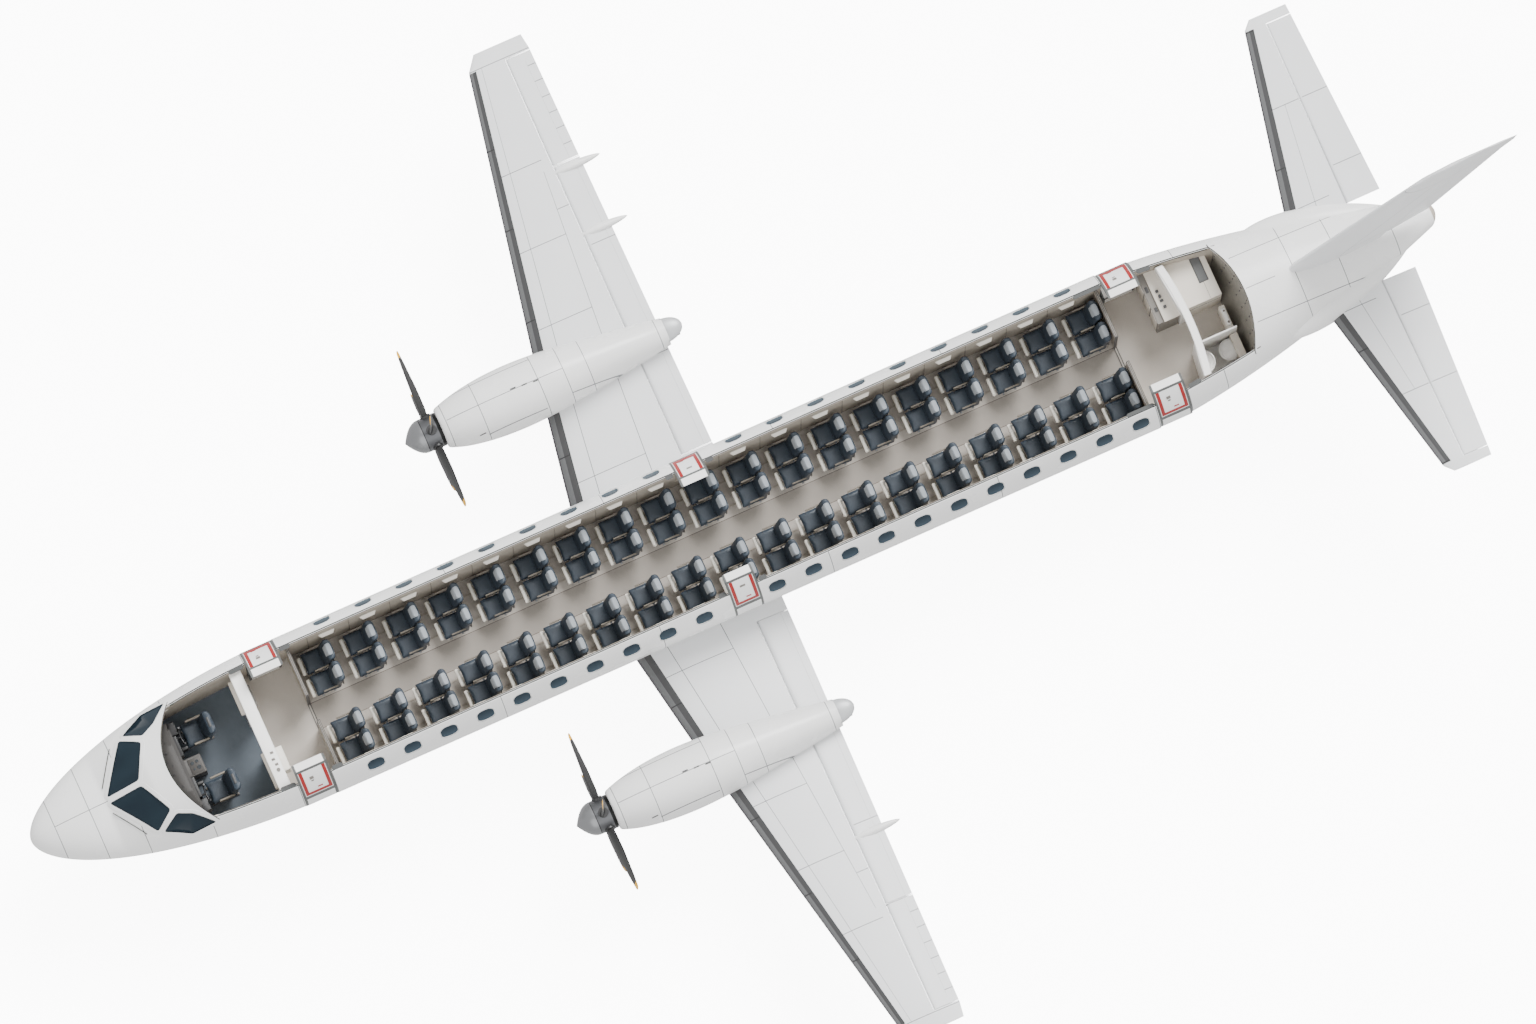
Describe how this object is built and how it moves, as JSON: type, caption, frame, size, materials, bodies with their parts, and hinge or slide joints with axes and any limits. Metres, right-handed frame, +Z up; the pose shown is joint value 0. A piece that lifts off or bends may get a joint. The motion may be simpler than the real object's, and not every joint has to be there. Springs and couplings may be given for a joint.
{
  "type": "turboprop airliner with its cabin roof cut away",
  "caption": "Full-size low-wing twin turboprop airliner parked on its landing gear, with the cabin roof cut away to show the cockpit, seats, galley and lavatory.",
  "frame": {"origin": "on the ground under the middle of the aircraft: half way along its length, on the centre plane, at the bottom of the tyres", "axes": "+X forward to the nose, +Y to port, +Z up"},
  "size_m": [27.998, 18.8508, 8],
  "materials": {
    "fuselage_paint": "gloss white aircraft paint with thin grey panel joints",
    "door_paint": "gloss white paint with red edge bands",
    "wing_paint": "light grey satin paint, dark rubber de-icing boots on the leading edges",
    "engine_steel": "plain heat-resistant steel",
    "gear_steel": "light grey enamelled gear steel with bright pistons",
    "propeller_black": "black composite blades with yellow tips, grey metal spinner",
    "tyre_rubber": "black grooved tyres on light grey wheels",
    "window_glass": "dark tinted laminated glass",
    "panel_plastic": "grey-brown moulded panel",
    "seat_leather": "slate blue leather with light grey headrest covers",
    "lining_plastic": "warm grey and white moulded lining",
    "bulkhead_metal": "grey-brown primer"
  },
  "bodies": {
    "airframe": {"radome": "fuselage_paint", "nose_section": "fuselage_paint", "cabin_lower": "fuselage_paint", "cabin_side_left": "fuselage_paint", "cabin_side_right": "fuselage_paint", "tail_section": "fuselage_paint", "belly_fairing": "fuselage_paint", "overwing_exit_left": "door_paint", "overwing_exit_right": "door_paint", "wing_left": "wing_paint", "wing_right": "wing_paint", "flap_left": "wing_paint", "flap_right": "wing_paint", "stabiliser_left": "wing_paint", "stabiliser_right": "wing_paint", "fin": "wing_paint", "nacelle_left": "fuselage_paint", "nacelle_right": "fuselage_paint", "engine_left": "engine_steel", "engine_right": "engine_steel", "exhaust_left": "engine_steel", "exhaust_right": "engine_steel", "main_leg_left": "gear_steel", "main_leg_right": "gear_steel", "nose_leg": "gear_steel", "windscreen_front_left": "window_glass", "windscreen_front_right": "window_glass", "windscreen_side_left": "window_glass", "windscreen_side_right": "window_glass", "instrument_panel": "panel_plastic", "pilot_seat_left": "seat_leather", "pilot_seat_right": "seat_leather", "seats_left_front": "seat_leather", "seats_left_rear": "seat_leather", "seats_right_front": "seat_leather", "seats_right_rear": "seat_leather", "cockpit_bulkhead": "lining_plastic", "forward_partition": "lining_plastic", "aft_partition": "lining_plastic", "aft_arch": "lining_plastic", "galley": "lining_plastic", "stowage": "lining_plastic", "lavatory": "lining_plastic", "pressure_bulkhead": "bulkhead_metal"},
    "propeller_left": {"propeller_left": "propeller_black"},
    "propeller_right": {"propeller_right": "propeller_black"},
    "aileron_left": {"aileron_left": "wing_paint"},
    "aileron_right": {"aileron_right": "wing_paint"},
    "elevator_left": {"elevator_left": "wing_paint"},
    "elevator_right": {"elevator_right": "wing_paint"},
    "rudder": {"rudder": "wing_paint"},
    "door_front_left": {"cabin_door_front_left": "door_paint"},
    "door_front_right": {"cabin_door_front_right": "door_paint"},
    "door_rear_left": {"cabin_door_rear_left": "door_paint"},
    "door_rear_right": {"cabin_door_rear_right": "door_paint"},
    "nose_fork": {"nose_fork": "gear_steel"},
    "nose_wheels": {"nose_wheels": "tyre_rubber"},
    "main_wheels_left": {"main_wheels_left": "tyre_rubber"},
    "main_wheels_right": {"main_wheels_right": "tyre_rubber"}
  },
  "joints": [
    {"name": "propeller_left_spin", "type": "hinge", "parent": "airframe", "child": "propeller_left", "pos_m": [4.77, 3.66, 2.37], "axis": [1, 0, 0], "continuous": true},
    {"name": "propeller_right_spin", "type": "hinge", "parent": "airframe", "child": "propeller_right", "pos_m": [4.77, -3.66, 2.37], "axis": [1, 0, 0], "continuous": true},
    {"name": "aileron_left_hinge", "type": "hinge", "parent": "airframe", "child": "aileron_left", "pos_m": [0.8872, 7.1027, 2.2584], "axis": [0.0044, 0.9954, 0.0958], "range_deg": [-20, 20]},
    {"name": "aileron_right_hinge", "type": "hinge", "parent": "airframe", "child": "aileron_right", "pos_m": [0.8872, -7.1027, 2.2584], "axis": [-0.0044, 0.9954, -0.0958], "range_deg": [-20, 20]},
    {"name": "elevator_left_hinge", "type": "hinge", "parent": "airframe", "child": "elevator_left", "pos_m": [-11.3748, 0.7489, 3.0909], "axis": [0.0069, 0.9945, 0.1045], "range_deg": [-15, 25]},
    {"name": "elevator_right_hinge", "type": "hinge", "parent": "airframe", "child": "elevator_right", "pos_m": [-11.3748, -0.7489, 3.0909], "axis": [-0.0069, 0.9945, -0.1045], "range_deg": [-15, 25]},
    {"name": "rudder_hinge", "type": "hinge", "parent": "airframe", "child": "rudder", "pos_m": [-11.7218, 0, 3.81], "axis": [-0.3225, 0, 0.9466], "range_deg": [-25, 25]},
    {"name": "door_front_left_hinge", "type": "hinge", "parent": "airframe", "child": "door_front_left", "pos_m": [9.1, 1.2986, 1.905], "axis": [-1, 0, 0], "range_deg": [0, 135]},
    {"name": "door_front_right_hinge", "type": "hinge", "parent": "airframe", "child": "door_front_right", "pos_m": [9.1, -1.2986, 1.905], "axis": [1, 0, 0], "range_deg": [0, 135]},
    {"name": "door_rear_left_hinge", "type": "hinge", "parent": "airframe", "child": "door_rear_left", "pos_m": [-7.12, 1.2986, 1.905], "axis": [-1, 0, 0], "range_deg": [0, 135]},
    {"name": "door_rear_right_hinge", "type": "hinge", "parent": "airframe", "child": "door_rear_right", "pos_m": [-7.12, -1.2986, 1.905], "axis": [1, 0, 0], "range_deg": [0, 135]},
    {"name": "nose_steering", "type": "hinge", "parent": "airframe", "child": "nose_fork", "pos_m": [11, 0, 0.77], "axis": [0, 0, 1], "range_deg": [-55, 55]},
    {"name": "nose_wheels_spin", "type": "hinge", "parent": "nose_fork", "child": "nose_wheels", "pos_m": [11, 0, 0.3], "axis": [0, 1, 0], "continuous": true},
    {"name": "main_wheels_left_spin", "type": "hinge", "parent": "airframe", "child": "main_wheels_left", "pos_m": [0.9, 3.66, 0.42], "axis": [0, 1, 0], "continuous": true},
    {"name": "main_wheels_right_spin", "type": "hinge", "parent": "airframe", "child": "main_wheels_right", "pos_m": [0.9, -3.66, 0.42], "axis": [0, 1, 0], "continuous": true}
  ],
  "couplings": [
    {"joint": "aileron_right_hinge", "follows": "aileron_left_hinge", "ratio": -1},
    {"joint": "elevator_right_hinge", "follows": "elevator_left_hinge", "ratio": 1}
  ]
}
